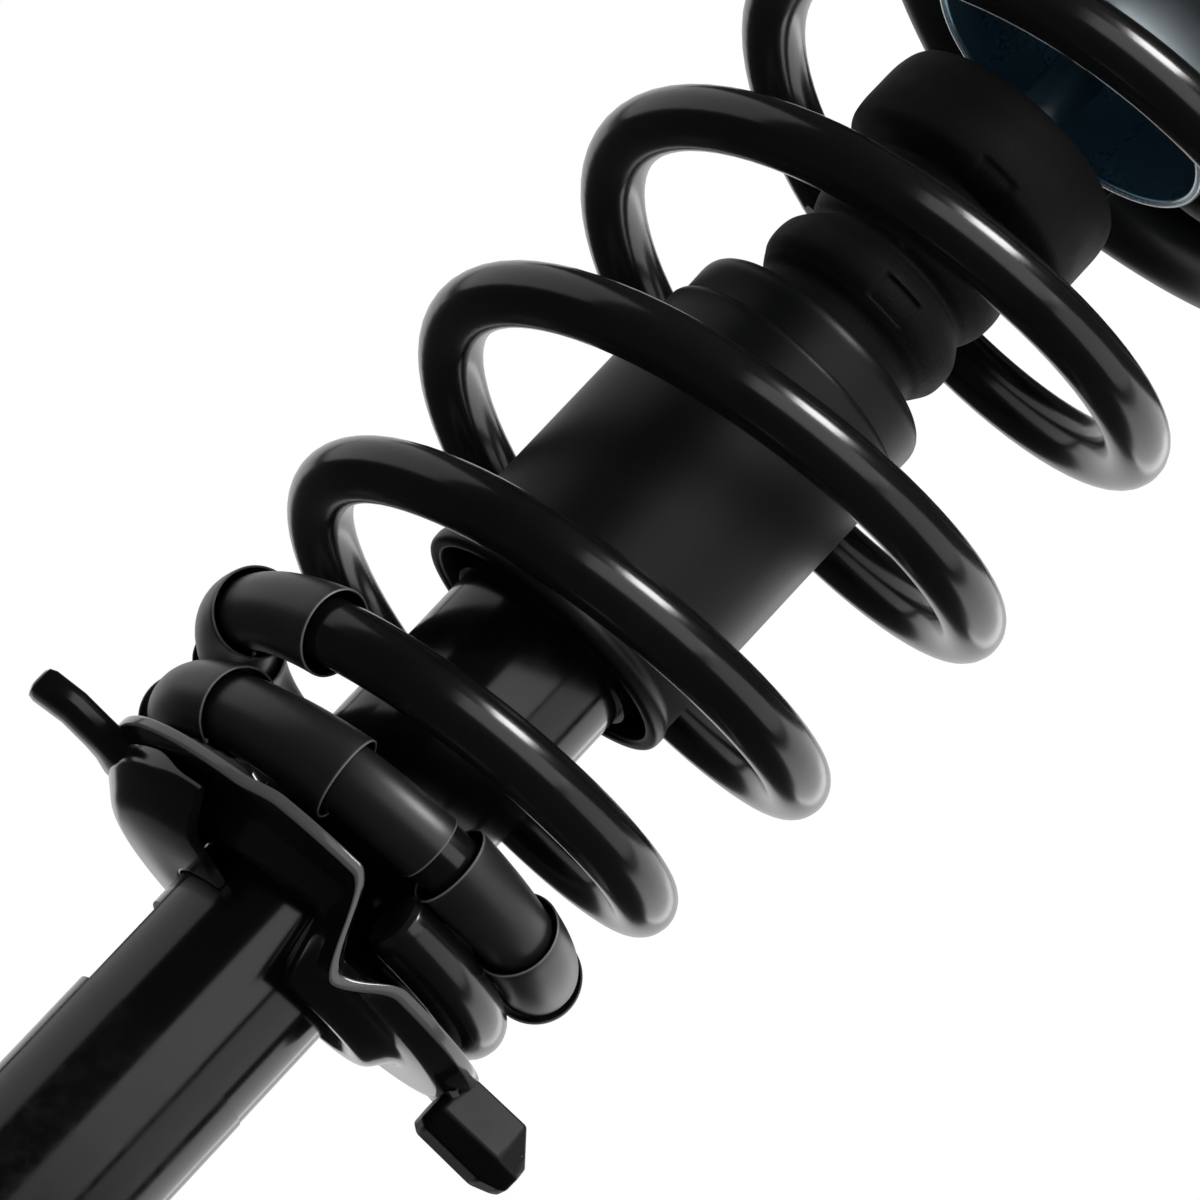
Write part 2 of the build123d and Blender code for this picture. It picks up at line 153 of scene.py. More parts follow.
def curveThrough(points, steps):
    # a smooth line through the points
    result = []
    for i in range(len(points) - 1):
        p0 = Vector(points[max(i - 1, 0)])
        p1, p2 = Vector(points[i]), Vector(points[i + 1])
        p3 = Vector(points[min(i + 2, len(points) - 1)])
        for s in range(steps):
            t = s / steps
            result.append(0.5 * (2 * p1 + (p2 - p0) * t + (2 * p0 - 5 * p1 + 4 * p2 - p3) * t * t
                                 + (3 * p1 - p0 - 3 * p2 + p3) * t ** 3))
    result.append(Vector(points[-1]))
    return result


def denser(outline, longest):
    # adds points so that no side of the closed outline is longer than this
    result = []
    for i, a in enumerate(outline):
        b = outline[(i + 1) % len(outline)]
        pieces = max(1, ceil((b - a).length / longest))
        result += [a.lerp(b, s / pieces) for s in range(pieces)]
    return result


def turned(name, outline, segments=144, shape=None, sharpAngle=32):
    # a closed (radius, height) outline turned about the strut's axis; shape may move each point
    rings = []
    for i in range(segments):
        angle = 2 * pi * i / segments
        ring = []
        for p in outline:
            radius, height = (p.x, p.y) if shape is None else shape(p.x, p.y, angle)
            ring.append((radius * cos(angle), radius * sin(angle), height))
        rings.append(ring)
    return ringMesh(name, rings, ringsClosed=True, sharpAngle=sharpAngle)


# Shader node groups shared by the finishes.

def makeGroup(name, inputs, outputs):
    group = bpy.data.node_groups.new(name, "ShaderNodeTree")
    for title, kind, value in inputs:
        made = group.interface.new_socket(title, in_out="INPUT", socket_type="NodeSocket" + kind)
        if value is not None:
            made.default_value = value
    for title, kind in outputs:
        group.interface.new_socket(title, in_out="OUTPUT", socket_type="NodeSocket" + kind)
    return group, group.nodes.new("NodeGroupInput"), group.nodes.new("NodeGroupOutput")


def addNode(tree, kind, place=(0, 0), **values):
    node = tree.nodes.new("ShaderNode" + kind)
    node.location = place
    for key, value in values.items():
        setattr(node, key, value)
    return node


def join(tree, source, target):
    tree.links.new(source, target)


def mathNode(tree, operation, first, second, place=(0, 0), clamp=False):
    node = addNode(tree, "Math", place, operation=operation, use_clamp=clamp)
    for socket, value in zip(node.inputs, (first, second)):
        if hasattr(value, "links"):
            join(tree, value, socket)
        elif value is not None:
            socket.default_value = value
    return node.outputs[0]


def noiseNode(tree, vector, scale, detail, place=(0, 0), roughness=0.55):
    node = addNode(tree, "TexNoise", place)
    join(tree, vector, node.inputs["Vector"])
    if hasattr(scale, "links"):
        join(tree, scale, node.inputs["Scale"])
    else:
        node.inputs["Scale"].default_value = scale
    node.inputs["Detail"].default_value = detail
    node.inputs["Roughness"].default_value = roughness
    return node.outputs["Fac"]


def spread(tree, value, low, high, place=(0, 0)):
    # maps low..high to 0..1, clamped
    node = addNode(tree, "MapRange", place, clamp=True)
    join(tree, value, node.inputs["Value"])
    node.inputs["From Min"].default_value = low
    node.inputs["From Max"].default_value = high
    return node.outputs["Result"]


def surfaceGrain():
    group, into, out = makeGroup(
        "surfaceGrain",
        [("Vector", "Vector", None), ("Fine Scale", "Float", 900.0), ("Cloud Scale", "Float", 30.0),
         ("Cloud Share", "Float", 0.3)],
        [("Height", "Float"), ("Cloud", "Float")])
    fine = noiseNode(group, into.outputs["Vector"], into.outputs["Fine Scale"], 3.0, (-400, 200))
    cloud = noiseNode(group, into.outputs["Vector"], into.outputs["Cloud Scale"], 4.0, (-400, -100))
    soft = mathNode(group, "MULTIPLY", cloud, into.outputs["Cloud Share"], (-150, -100))
    height = mathNode(group, "ADD", fine, soft, (0, 100))
    join(group, height, out.inputs["Height"])
    join(group, spread(group, cloud, 0.3, 0.7, (0, -150)), out.inputs["Cloud"])
    return group


def edgeWear():
    group, into, out = makeGroup(
        "edgeWear",
        [("Vector", "Vector", None), ("Amount", "Float", 0.5), ("Patch Scale", "Float", 160.0)],
        [("Mask", "Float")])
    shape = addNode(group, "NewGeometry", (-600, 200))
    ridge = spread(group, shape.outputs["Pointiness"], 0.535, 0.62, (-400, 200))
    patch = noiseNode(group, into.outputs["Vector"], into.outputs["Patch Scale"], 5.0, (-400, -100), 0.7)
    patchy = spread(group, patch, 0.42, 0.62, (-200, -100))
    worn = mathNode(group, "MULTIPLY", ridge, patchy, (0, 100))
    join(group, mathNode(group, "MULTIPLY", worn, into.outputs["Amount"], (150, 100), True),
         out.inputs["Mask"])
    return group


def dustFilm():
    group, into, out = makeGroup(
        "dustFilm",
        [("Vector", "Vector", None), ("Amount", "Float", 0.2), ("Scale", "Float", 60.0)],
        [("Mask", "Float")])
    shape = addNode(group, "NewGeometry", (-700, 200))
    split = addNode(group, "SeparateXYZ", (-500, 200))
    join(group, shape.outputs["Normal"], split.inputs[0])
    upward = spread(group, split.outputs["Z"], -0.1, 1.0, (-300, 200))
    film = noiseNode(group, into.outputs["Vector"], into.outputs["Scale"], 6.0, (-400, -100), 0.65)
    specks = noiseNode(group, into.outputs["Vector"], 1500.0, 1.0, (-400, -350))
    speck = spread(group, specks, 0.68, 0.72, (-200, -350))
    cloudy = spread(group, film, 0.35, 0.75, (-200, -100))
    settled = mathNode(group, "MULTIPLY", mathNode(group, "ADD", upward, 0.15, (-100, 250)), cloudy)
    both = mathNode(group, "ADD", settled, mathNode(group, "MULTIPLY", speck, 0.6, (0, -300)), (100, 0))
    join(group, mathNode(group, "MULTIPLY", both, into.outputs["Amount"], (250, 0), True),
         out.inputs["Mask"])
    return group


def fineScratches():
    group, into, out = makeGroup(
        "fineScratches",
        [("Vector", "Vector", None), ("Across", "Float", 2500.0), ("Along", "Float", 40.0),
         ("Amount", "Float", 0.5)],
        [("Mask", "Float")])
    split = addNode(group, "SeparateXYZ", (-800, 0))
    join(group, into.outputs["Vector"], split.inputs[0])
    merge = addNode(group, "CombineXYZ", (-450, 0))
    for axis in ("X", "Y"):
        join(group, mathNode(group, "MULTIPLY", split.outputs[axis], into.outputs["Across"]),
             merge.inputs[axis])
    join(group, mathNode(group, "MULTIPLY", split.outputs["Z"], into.outputs["Along"]),
         merge.inputs["Z"])
    lines = noiseNode(group, merge.outputs[0], 1.0, 2.0, (-250, 0))
    join(group, mathNode(group, "MULTIPLY", spread(group, lines, 0.45, 0.75), into.outputs["Amount"],
                         (100, 0), True), out.inputs["Mask"])
    return group


def paintChips():
    group, into, out = makeGroup(
        "paintChips",
        [("Vector", "Vector", None), ("Scale", "Float", 60.0), ("Size", "Float", 0.06)],
        [("Mask", "Float")])
    ragged = addNode(group, "TexNoise", (-600, -150))
    ragged.inputs["Scale"].default_value = 900.0
    join(group, into.outputs["Vector"], ragged.inputs["Vector"])
    bend = addNode(group, "VectorMath", (-450, -150), operation="MULTIPLY_ADD")
    join(group, ragged.outputs["Color"], bend.inputs[0])
    bend.inputs[1].default_value = (0.0008, 0.0008, 0.0008)
    join(group, into.outputs["Vector"], bend.inputs[2])
    cells = addNode(group, "TexVoronoi", (-300, 100))
    join(group, bend.outputs[0], cells.inputs["Vector"])
    join(group, into.outputs["Scale"], cells.inputs["Scale"])
    near = mathNode(group, "LESS_THAN", cells.outputs["Distance"], into.outputs["Size"], (-100, 100))
    rare = addNode(group, "SeparateXYZ", (-100, -150))
    join(group, cells.outputs["Color"], rare.inputs[0])
    few = mathNode(group, "GREATER_THAN", rare.outputs["X"], 0.72, (50, -150))
    join(group, mathNode(group, "MULTIPLY", near, few, (200, 0)), out.inputs["Mask"])
    return group


groups = {make.__name__: make() for make in
          (surfaceGrain, edgeWear, dustFilm, fineScratches, paintChips)}


def placeGroup(tree, name, vector, place, **values):
    node = addNode(tree, "Group", place)
    node.node_tree = groups[name]
    join(tree, vector, node.inputs["Vector"])
    for key, value in values.items():
        node.inputs[key].default_value = value
    return node


def mixColour(tree, mask, first, second, place=(0, 0)):
    node = addNode(tree, "Mix", place, data_type="RGBA")
    join(tree, mask, node.inputs["Factor"])
    colourInputs = [s for s in node.inputs if s.type == "RGBA"]
    for socket, value in zip(colourInputs, (first, second)):
        if hasattr(value, "links"):
            join(tree, value, socket)
        else:
            socket.default_value = (*value, 1.0)
    return [s for s in node.outputs if s.type == "RGBA"][0]


def mixValue(tree, mask, first, second, place=(0, 0)):
    node = addNode(tree, "Mix", place, data_type="FLOAT")
    join(tree, mask, node.inputs[0])
    for socket, value in zip((node.inputs[2], node.inputs[3]), (first, second)):
        if hasattr(value, "links"):
            join(tree, value, socket)
        else:
            socket.default_value = value
    return node.outputs[0]


plainFinish = dict(
    tone=(0.02, 0.02, 0.021), cloudTone=(0.03, 0.03, 0.031), wornTone=(0.12, 0.12, 0.12),
    dustTone=(0.22, 0.21, 0.2), smoothest=0.3, roughest=0.45, wornRoughness=0.5,
    metallic=0.0, specular=0.5, coat=0.0, coatRoughness=0.1, sheen=0.0,
    fineScale=900.0, cloudScale=30.0, cloudShare=0.3, bump=0.15, bumpDepth=0.1,
    wear=0.5, dust=0.1, scratches=0.0, across=2500.0, along=40.0, chips=0.0, chipScale=60.0, edgeTone=None,
)


def makeFinish(name, changes):
    s = {**plainFinish, **changes}
    material = bpy.data.materials.new(name)
    material.use_nodes = True
    tree = material.node_tree
    shader = tree.nodes["Principled BSDF"]
    place = addNode(tree, "TexCoord", (-1500, 0)).outputs["Object"]
    grain = placeGroup(tree, "surfaceGrain", place, (-1200, 300), **{
        "Fine Scale": s["fineScale"], "Cloud Scale": s["cloudScale"], "Cloud Share": s["cloudShare"]})
    wear = placeGroup(tree, "edgeWear", place, (-1200, 50), Amount=s["wear"])
    dust = placeGroup(tree, "dustFilm", place, (-1200, -150), Amount=s["dust"])
    colour = mixColour(tree, grain.outputs["Cloud"], s["tone"], s["cloudTone"], (-900, 300))
    colour = mixColour(tree, wear.outputs["Mask"], colour, s["wornTone"], (-700, 250))
    rough = mixValue(tree, grain.outputs["Cloud"], s["smoothest"], s["roughest"], (-900, 0))
    rough = mixValue(tree, wear.outputs["Mask"], rough, s["wornRoughness"], (-700, 0))
    height = grain.outputs["Height"]
    if s["scratches"]:
        marks = placeGroup(tree, "fineScratches", place, (-1200, -350), Amount=s["scratches"],
                           Across=s["across"], Along=s["along"])
        rough = mixValue(tree, marks.outputs["Mask"], rough, min(1.0, s["roughest"] * 1.6), (-500, 0))
        height = mathNode(tree, "SUBTRACT", height, marks.outputs["Mask"], (-700, -300))
    if s["chips"]:
        spots = placeGroup(tree, "paintChips", place, (-1200, -550), Scale=s["chipScale"], Size=s["chips"])
        colour = mixColour(tree, spots.outputs["Mask"], colour, s["wornTone"], (-500, 250))
        rough = mixValue(tree, spots.outputs["Mask"], rough, 0.7, (-350, 0))
        height = mathNode(tree, "SUBTRACT", height, spots.outputs["Mask"], (-500, -300))
    # edgeTone is mixed in on the marked points: a painted highlight on the seat's outer edge and on the
    # sleeve rims
    if s["edgeTone"]:
        edge = addNode(tree, "Attribute", (-700, 500), attribute_name="paleEdge").outputs["Fac"]
        colour = mixColour(tree, edge, colour, s["edgeTone"], (-350, 400))
    colour = mixColour(tree, dust.outputs["Mask"], colour, s["dustTone"], (-200, 250))
    rough = mixValue(tree, dust.outputs["Mask"], rough, 0.85, (-200, 0))
    join(tree, colour, shader.inputs["Base Color"])
    join(tree, rough, shader.inputs["Roughness"])
    bump = addNode(tree, "Bump", (-200, -300))
    bump.inputs["Strength"].default_value = s["bump"]
    bump.inputs["Distance"].default_value = s["bumpDepth"] * mm
    join(tree, height, bump.inputs["Height"])
    join(tree, bump.outputs["Normal"], shader.inputs["Normal"])
    for socket, key in (("Metallic", "metallic"), ("Specular IOR Level", "specular"),
                        ("Coat Weight", "coat"), ("Coat Roughness", "coatRoughness"),
                        ("Sheen Weight", "sheen")):
        shader.inputs[socket].default_value = s[key]
    return material


finishes = {
    "blackEnamel": dict(  # tube, seat and pan: glossy black paint
        tone=(0.0030, 0.0030, 0.0032), cloudTone=(0.0034, 0.0034, 0.0036), smoothest=0.13, roughest=0.14,
        fineScale=420.0, cloudScale=22.0, cloudShare=0.05, bump=0.02, bumpDepth=0.08,
        # edgeTone here is a painted highlight on the seat sheet's outer edge face
        wear=0.35, wornTone=(0.03, 0.03, 0.03), dust=0.004, edgeTone=(0.075, 0.075, 0.077),
        scratches=0.05, across=1400.0, along=30.0),
    "springEnamel": dict(  # powder coat on the coil
        tone=(0.0034, 0.0034, 0.0036), cloudTone=(0.0052, 0.0052, 0.0054), smoothest=0.17, roughest=0.20,
        fineScale=620.0, cloudScale=40.0, cloudShare=0.1, bump=0.07, bumpDepth=0.12,
        wear=0.3, wornTone=(0.2, 0.2, 0.2), dust=0.015, chips=0.07, chipScale=46.0),
    "sleevePlastic": dict(  # thin satin sleeves on the wire
        tone=(0.0085, 0.0088, 0.0092), cloudTone=(0.0115, 0.0118, 0.0122), smoothest=0.36, roughest=0.40,
        fineScale=1400.0, cloudScale=60.0, cloudShare=0.2, bump=0.10, bumpDepth=0.06,
        # edgeTone here is a painted highlight on the sleeve rims
        wear=1.0, wornTone=(0.05, 0.05, 0.05), dust=0.012, edgeTone=(0.13, 0.13, 0.132)),
    "padRubber": dict(
        tone=(0.006, 0.006, 0.0062), cloudTone=(0.009, 0.009, 0.0092), smoothest=0.42, roughest=0.52,
        fineScale=1100.0, cloudScale=70.0, bump=0.2, bumpDepth=0.12, wear=0.6,
        wornTone=(0.06, 0.06, 0.06), dust=0.05),
    "capPlastic": dict(  # hard moulded cap
        tone=(0.0018, 0.0018, 0.0019), cloudTone=(0.0024, 0.0024, 0.0026), smoothest=0.42, roughest=0.48,
        specular=0.22,
        fineScale=900.0, cloudScale=70.0, bump=0.12, bumpDepth=0.1, wear=0.5,
        wornTone=(0.05, 0.05, 0.05), dust=0.01),
    "bootRubber": dict(  # matte moulded boot
        tone=(0.0026, 0.0030, 0.0034), cloudTone=(0.0036, 0.0040, 0.0044), smoothest=0.38, roughest=0.44,
        specular=0.24,
        fineScale=1600.0, cloudScale=26.0, cloudShare=0.8, bump=0.14, bumpDepth=0.1,
        wear=0.4, wornTone=(0.04, 0.04, 0.04), dust=0.025),
    "stopFoam": dict(  # microcellular foam with an open skin
        tone=(0.0022, 0.0022, 0.0023), cloudTone=(0.0036, 0.0036, 0.0037), smoothest=0.62, roughest=0.75,
        specular=0.22,
        fineScale=1300.0, cloudScale=120.0, cloudShare=0.6, bump=0.45, bumpDepth=0.25,
        wear=0.5, wornTone=(0.04, 0.04, 0.04), dust=0.03),
    "rodChrome": dict(
        tone=(0.62, 0.63, 0.64), cloudTone=(0.70, 0.70, 0.71), wornTone=(0.5, 0.5, 0.5), metallic=1.0,
        smoothest=0.07, roughest=0.12, fineScale=1800.0, cloudScale=35.0, bump=0.03, bumpDepth=0.03,
        wear=0.1, dust=0.02, scratches=0.3, across=300.0, along=2600.0),
    "blueZinc": dict(  # plated cup with a blue cast
        tone=(0.11, 0.25, 0.34), cloudTone=(0.13, 0.27, 0.36), wornTone=(0.55, 0.58, 0.6), metallic=0.72,
        smoothest=0.26, roughest=0.30, fineScale=900.0, cloudScale=45.0, bump=0.04, bumpDepth=0.08,
        wear=0.1, wornRoughness=0.25, dust=0.0, scratches=0.15, across=500.0, along=500.0,
        edgeTone=(0.72, 0.82, 0.87)),
    "brightZinc": dict(
        tone=(0.70, 0.76, 0.78), cloudTone=(0.78, 0.82, 0.83), wornTone=(0.8, 0.8, 0.8), metallic=0.6,
        smoothest=0.24, roughest=0.34, fineScale=700.0, cloudScale=60.0, bump=0.08, bumpDepth=0.1,
        wear=0.6, wornRoughness=0.3, dust=0.03, scratches=0.2, across=700.0, along=700.0),
    "plainSteel": dict(
        tone=(0.38, 0.38, 0.38), cloudTone=(0.5, 0.5, 0.49), wornTone=(0.62, 0.62, 0.62), metallic=1.0,
        smoothest=0.28, roughest=0.42, fineScale=800.0, cloudScale=55.0, bump=0.12, bumpDepth=0.08,
        wear=0.6, dust=0.05, scratches=0.25, across=900.0, along=900.0),
    "sinteredIron": dict(
        tone=(0.18, 0.175, 0.17), cloudTone=(0.26, 0.25, 0.24), metallic=1.0, smoothest=0.5,
        roughest=0.62, fineScale=1500.0, cloudScale=90.0, bump=0.35, bumpDepth=0.12, wear=0.4,
        wornTone=(0.4, 0.4, 0.4)),
    "bearingPolymer": dict(
        tone=(0.10, 0.07, 0.045), cloudTone=(0.14, 0.10, 0.065), smoothest=0.4, roughest=0.5,
        fineScale=1000.0, bump=0.12, wear=0.3, wornTone=(0.2, 0.16, 0.12)),
}
materials = {name: makeFinish(name, changes) for name, changes in finishes.items()}
print("stage: finishes made")


def dress(piece, finish, body, *nodes):
    # gives a new piece its finish, its body and the CAD nodes that it stands for
    piece.data.materials.append(materials[finish])
    if body:
        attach(piece, body)
    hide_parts(*nodes)
    return piece


cadFinishes = {
    "blackEnamel": ["outer_tube", "tube_top_cap"],
    "rodChrome": ["piston_rod"],
    "brightZinc": ["upper_spring_seat", "mount_plate", "lower_washer", "upper_washer", "rod_nut",
                   "mount_studs"],
    "plainSteel": ["base_cap", "mount_sleeve", "pressure_tube", "base_valve_disc", "piston_shims",
                   "piston_nut", "rebound_ring"],
    "sinteredIron": ["piston", "base_valve", "rod_guide"],
    "bearingPolymer": ["guide_bush", "piston_band"],
    "padRubber": ["rod_seal", "rebound_cushion", "mount_rubber"],
}
for finish, nodes in cadFinishes.items():
    for node in nodes:
        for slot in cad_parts[node].material_slots:
            slot.material = materials[finish]


# The spring's line: the same as in the CAD.

spring = dict(
    wireRadius=7.2, lowRadius=44.3, mainRadius=64.0, topRadius=61.0, lean=2.3, baseHeight=167.2,
    lowPitch=15.0, mainPitch=54.93, topPitch=12.0, openingTurns=4.03, closingStart=5.7,
    closingTurns=1.2, firstTurn=-0.19, lastTurn=6.9, sides=40, ringsPerTurn=72,
    endChamfer=1.1, shutPitch=17.0, mainFrom=4.16, topFrom=5.6, topTurns=0.9,
)


def wireHeight(turn):
    s = spring
    opening = (s["mainPitch"] - s["lowPitch"]) * s["openingTurns"] * smoothSum(turn / s["openingTurns"])
    closing = (s["mainPitch"] - s["topPitch"]) * s["closingTurns"]
    closing *= smoothSum((turn - s["closingStart"]) / s["closingTurns"])
    return s["baseHeight"] + s["lowPitch"] * turn + opening - closing


def wirePoint(turn):
    s = spring
    radius = s["lowRadius"] + (s["mainRadius"] - s["lowRadius"]) * smooth(turn / s["mainFrom"])
    radius -= (s["mainRadius"] - s["topRadius"]) * smooth((turn - s["topFrom"]) / s["topTurns"])
    lean = s["lean"] * (smooth((turn - 2.3) / 2.5) - smooth((turn - 6.0) / 0.9))
    angle = 2 * pi * turn
    return Vector((lean + radius * cos(angle), radius * sin(angle), wireHeight(turn)))


def wireFrame(turn):
    along = (wirePoint(turn + 0.002) - wirePoint(turn - 0.002)).normalized()
    outward = Vector((cos(2 * pi * turn), sin(2 * pi * turn), 0))
    outward = (outward - along * outward.dot(along)).normalized()
    return along, outward, along.cross(outward)


def closingShares():
    # how much of the spring's travel has been taken up below each turn
    s = spring
    step = 0.01
    count = round((s["lastTurn"] - s["firstTurn"]) / step)
    sums = [0.0]
    for i in range(count):
        turn = s["firstTurn"] + step * (i + 0.5)
        pitch = (wireHeight(turn + step / 2) - wireHeight(turn - step / 2)) / step
        sums.append(sums[-1] + max(pitch - s["shutPitch"], 0.0) * step)
    return [value / sums[-1] for value in sums]


shares = closingShares()


def wireRing(turn, radius, sides, shift=0.0):
    along, outward, upward = wireFrame(turn)
    centre = wirePoint(turn) + along * shift
    angles = [2 * pi * k / sides for k in range(sides)]
    return [centre + outward * (radius * cos(a)) + upward * (radius * sin(a)) for a in angles]


def onWire(name, stations, sides, closedLoop=False, capped=True, sharpAngle=32):
    # stations are (turn, radius, shift along the wire)
    rings = [wireRing(turn, radius, sides, shift) for turn, radius, shift in stations]
    points = [p for ring in rings for p in ring]
    mesh = bpy.data.meshes.new(name)
    mesh.from_pydata([p * mm for p in points], [], ringFaces(len(rings), sides, closedLoop, capped))
    if closedLoop:
        work = bmesh.new()
        work.from_mesh(mesh)
        bmesh.ops.recalc_face_normals(work, faces=work.faces)
        work.to_mesh(mesh)
        work.free()
    piece = finishMesh(name, mesh, sharpAngle)
    low, high = wirePoint(spring["firstTurn"]) * mm, wirePoint(spring["lastTurn"]) * mm
    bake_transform(piece)
    return piece


def buildSpring():
    s = spring
    count = round((s["lastTurn"] - s["firstTurn"]) * s["ringsPerTurn"])
    stations = [(s["firstTurn"], s["wireRadius"] - s["endChamfer"], 0.0),
                (s["firstTurn"], s["wireRadius"] - 0.25, s["endChamfer"] * 0.75),
                (s["firstTurn"], s["wireRadius"], s["endChamfer"] * 1.3)]
    for i in range(1, count):
        stations.append((between(s["firstTurn"], s["lastTurn"], i / count), s["wireRadius"], 0.0))
    stations += [(s["lastTurn"], s["wireRadius"], -s["endChamfer"] * 1.3),
                 (s["lastTurn"], s["wireRadius"] - 0.25, -s["endChamfer"] * 0.75),
                 (s["lastTurn"], s["wireRadius"] - s["endChamfer"], 0.0)]
    piece = onWire("coilSpring", stations, s["sides"])
    dress(piece, "springEnamel", None, "coil_spring")


buildSpring()
print("stage: spring built")

# Sleeves: CAD node, first and last turn, size step, and which ends open over a neighbour.
sleeves = dict(
    inner=7.3, wall=0.5, step=0.25, flare=1.7, waist=0.25, sides=64, ringsPerTurn=110,
    rows=[
        ("spring_sleeve_01", 0.380, 0.480, 3, "both"), ("spring_sleeve_02", 0.470, 0.605, 2, "last"),
        ("spring_sleeve_03", 0.595, 0.715, 1, "last"), ("spring_sleeve_04", 0.700, 0.792, 0, "none"),
        ("spring_sleeve_05", 0.810, 0.905, 1, "first"), ("spring_sleeve_06", 0.895, 1.010, 2, "first"),
        ("spring_sleeve_07", 1.000, 1.115, 3, "both"), ("spring_sleeve_08", 1.105, 1.220, 2, "last"),
        ("spring_sleeve_09", 1.210, 1.325, 1, "none"), ("spring_sleeve_10", 1.315, 1.440, 3, "both"),
        ("spring_sleeve_11", 1.430, 1.545, 2, "last"), ("spring_sleeve_12", 1.535, 1.640, 1, "last"),
        ("top_sleeve_1", 5.880, 6.030, 1, "first"), ("top_sleeve_2", 6.020, 6.180, 2, "both"),
        ("top_sleeve_3", 6.170, 6.330, 1, "none"), ("top_sleeve_4", 6.320, 6.480, 2, "both"),
    ])


def buildSleeves():
    s = sleeves
    for node, first, last, size, flared in s["rows"]:
        inner = s["inner"] + s["step"] * size
        outer = inner + s["wall"]
        steps = max(8, round((last - first) * s["ringsPerTurn"]))

        def widening(t):
            opened = dict(first=1 - t, last=t, both=between(s["waist"], 1.0, (2 * t - 1) ** 2), none=0.0)
            return s["flare"] * opened[flared]

        lip = s["wall"] * 0.35
        margin = lip * 3
        outside = [(between(first, last, i / steps), outer + widening(i / steps), 0.0)
                   for i in range(1, steps)]
        inside = [(between(first, last, i / steps), inner + widening(i / steps), 0.0)
                  for i in range(steps - 1, 0, -1)]
        wideA, wideB = widening(0), widening(1)
        startRim = [(first, inner + wideA, margin), (first, inner + wideA + lip * 0.2, lip),
                    (first, (inner + outer) / 2 + wideA, 0.0), (first, outer + wideA - lip * 0.2, lip),
                    (first, outer + wideA, margin)]
        endRim = [(last, outer + wideB, -margin), (last, outer + wideB - lip * 0.2, -lip),
                  (last, (inner + outer) / 2 + wideB, 0.0), (last, inner + wideB + lip * 0.2, -lip),
                  (last, inner + wideB, -margin)]
        name = node.split("_")[0] + "Sleeve" + node.split("_")[-1]
        piece = onWire(name, startRim + outside + endRim + inside, s["sides"], closedLoop=True)
        # the rim lips take the paler edge tone, a painted highlight along each sleeve mouth
        rimMarks = [0.0, 1.0, 1.0, 1.0, 0.0]
        marks = rimMarks + [0.0] * len(outside) + rimMarks + [0.0] * len(inside)
        markEdges(piece, [mark for mark in marks for k in range(s["sides"])])
        dress(piece, "sleevePlastic", None, node)


buildSleeves()
print("stage: sleeves built")

# Lower spring seat: a pressed sheet that climbs with the wire, and its two ears.
seat = dict(
    inner=22.8, outer=53.7, sheet=3.0, firstAngle=-72.0, sweep=348.0, sections=348, stepSections=30,
    grooveInner=38.0, grooveOuter=49.5, bowlDepth=6.2, padHeight=3.0, clearance=10.3,
    earHeight=157.0, tabEnd=70.5, tabWidth=13.0,
    # the rim's line, in degrees and millimetres: a steep step down into a dip, then a climb to the low side
    highRim=166.5, stepFrom=274.0, stepLength=13.5, dipRim=147.0, climbFrom=286.5, climbLength=16.0,
    lowRim=155.5, lowSlope=0.07, joinHigh=240.0, joinHighLength=12.0, joinLow=375.0, joinLowLength=25.0,
)


def grooveHeight(angle):
    return wireHeight(angle / 360) - seat["clearance"] - seat["padHeight"]


def seatTop(angle):
    s = seat
    groove = grooveHeight(angle)
    rim = groove + 2.6 * smooth((angle + 90) / 80) - 3.0 * smooth((angle - 170) / 100)
    bowl = groove - s["bowlDepth"]
    return [(s["inner"], bowl + 3.4), (26.5, bowl + 2.5), (28.5, bowl), (33.5, bowl),
            (s["grooveInner"], groove), (s["grooveOuter"], groove), (s["outer"], rim)]


def rimHeight(angle, plain):
    # the plain rim away from the step, and the drawn line around it
    r = seat
    around = angle if angle >= 180 else angle + 360
    step = (r["dipRim"] - r["highRim"]) * smooth((around - r["stepFrom"]) / r["stepLength"])
    climb = (r["lowRim"] - r["dipRim"]) * smooth((around - r["climbFrom"]) / r["climbLength"])
    slope = r["lowSlope"] * max(around - r["climbFrom"] - r["climbLength"], 0.0)
    share = smooth((around - r["joinHigh"]) / r["joinHighLength"])
    share *= smooth((r["joinLow"] - around) / r["joinLowLength"])
    return between(plain, r["highRim"] + step + climb + slope, share)


def seatSection(corners):
    # the sheet's closed section with soft bends and a rounded free edge
    top = [(x, y, 0.6 if i in (0, len(corners) - 1) else 2.2) for i, (x, y) in enumerate(corners)]
    under = [(x, y - seat["sheet"], r) for x, y, r in reversed(top)]
    under[0] = (*under[0][:2], 1.1)
    top[-1] = (*top[-1][:2], 1.1)
    return roundedOutline(top + under, steps=4)


